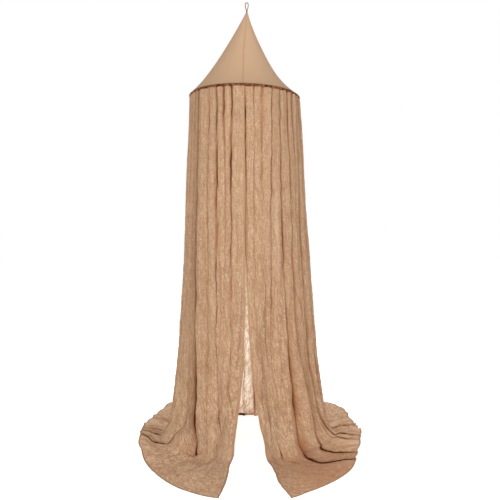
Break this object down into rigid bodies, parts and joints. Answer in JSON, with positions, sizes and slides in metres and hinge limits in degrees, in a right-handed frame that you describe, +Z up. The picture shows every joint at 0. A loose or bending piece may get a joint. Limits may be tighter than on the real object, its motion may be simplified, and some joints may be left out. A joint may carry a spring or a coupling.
{
  "type": "hanging mosquito net canopy with hoop",
  "caption": "Hanging canopy of crinkled gauze: cone top on a wire hoop, long gathered curtain open at the front, train on the floor.",
  "frame": {"origin": "inside the top of the hanging loop, where the ceiling hook bears; the floor is 1.9725 m below it", "axes": "+Z up; -Y is the front, where the curtain opens; +X is to the viewer's right"},
  "size_m": [1.048, 1.5333, 1.9765],
  "materials": {
    "gauze": "crinkled sheer cotton gauze, warm sand brown",
    "plain_cloth": "plain woven cotton, matt",
    "wire": "plain steel wire",
    "cord": "twisted cotton cord, matt"
  },
  "bodies": {
    "root": {"curtain": "gauze", "cone": "plain_cloth", "hoop": "wire", "loop": "cord"}
  },
  "joints": []
}
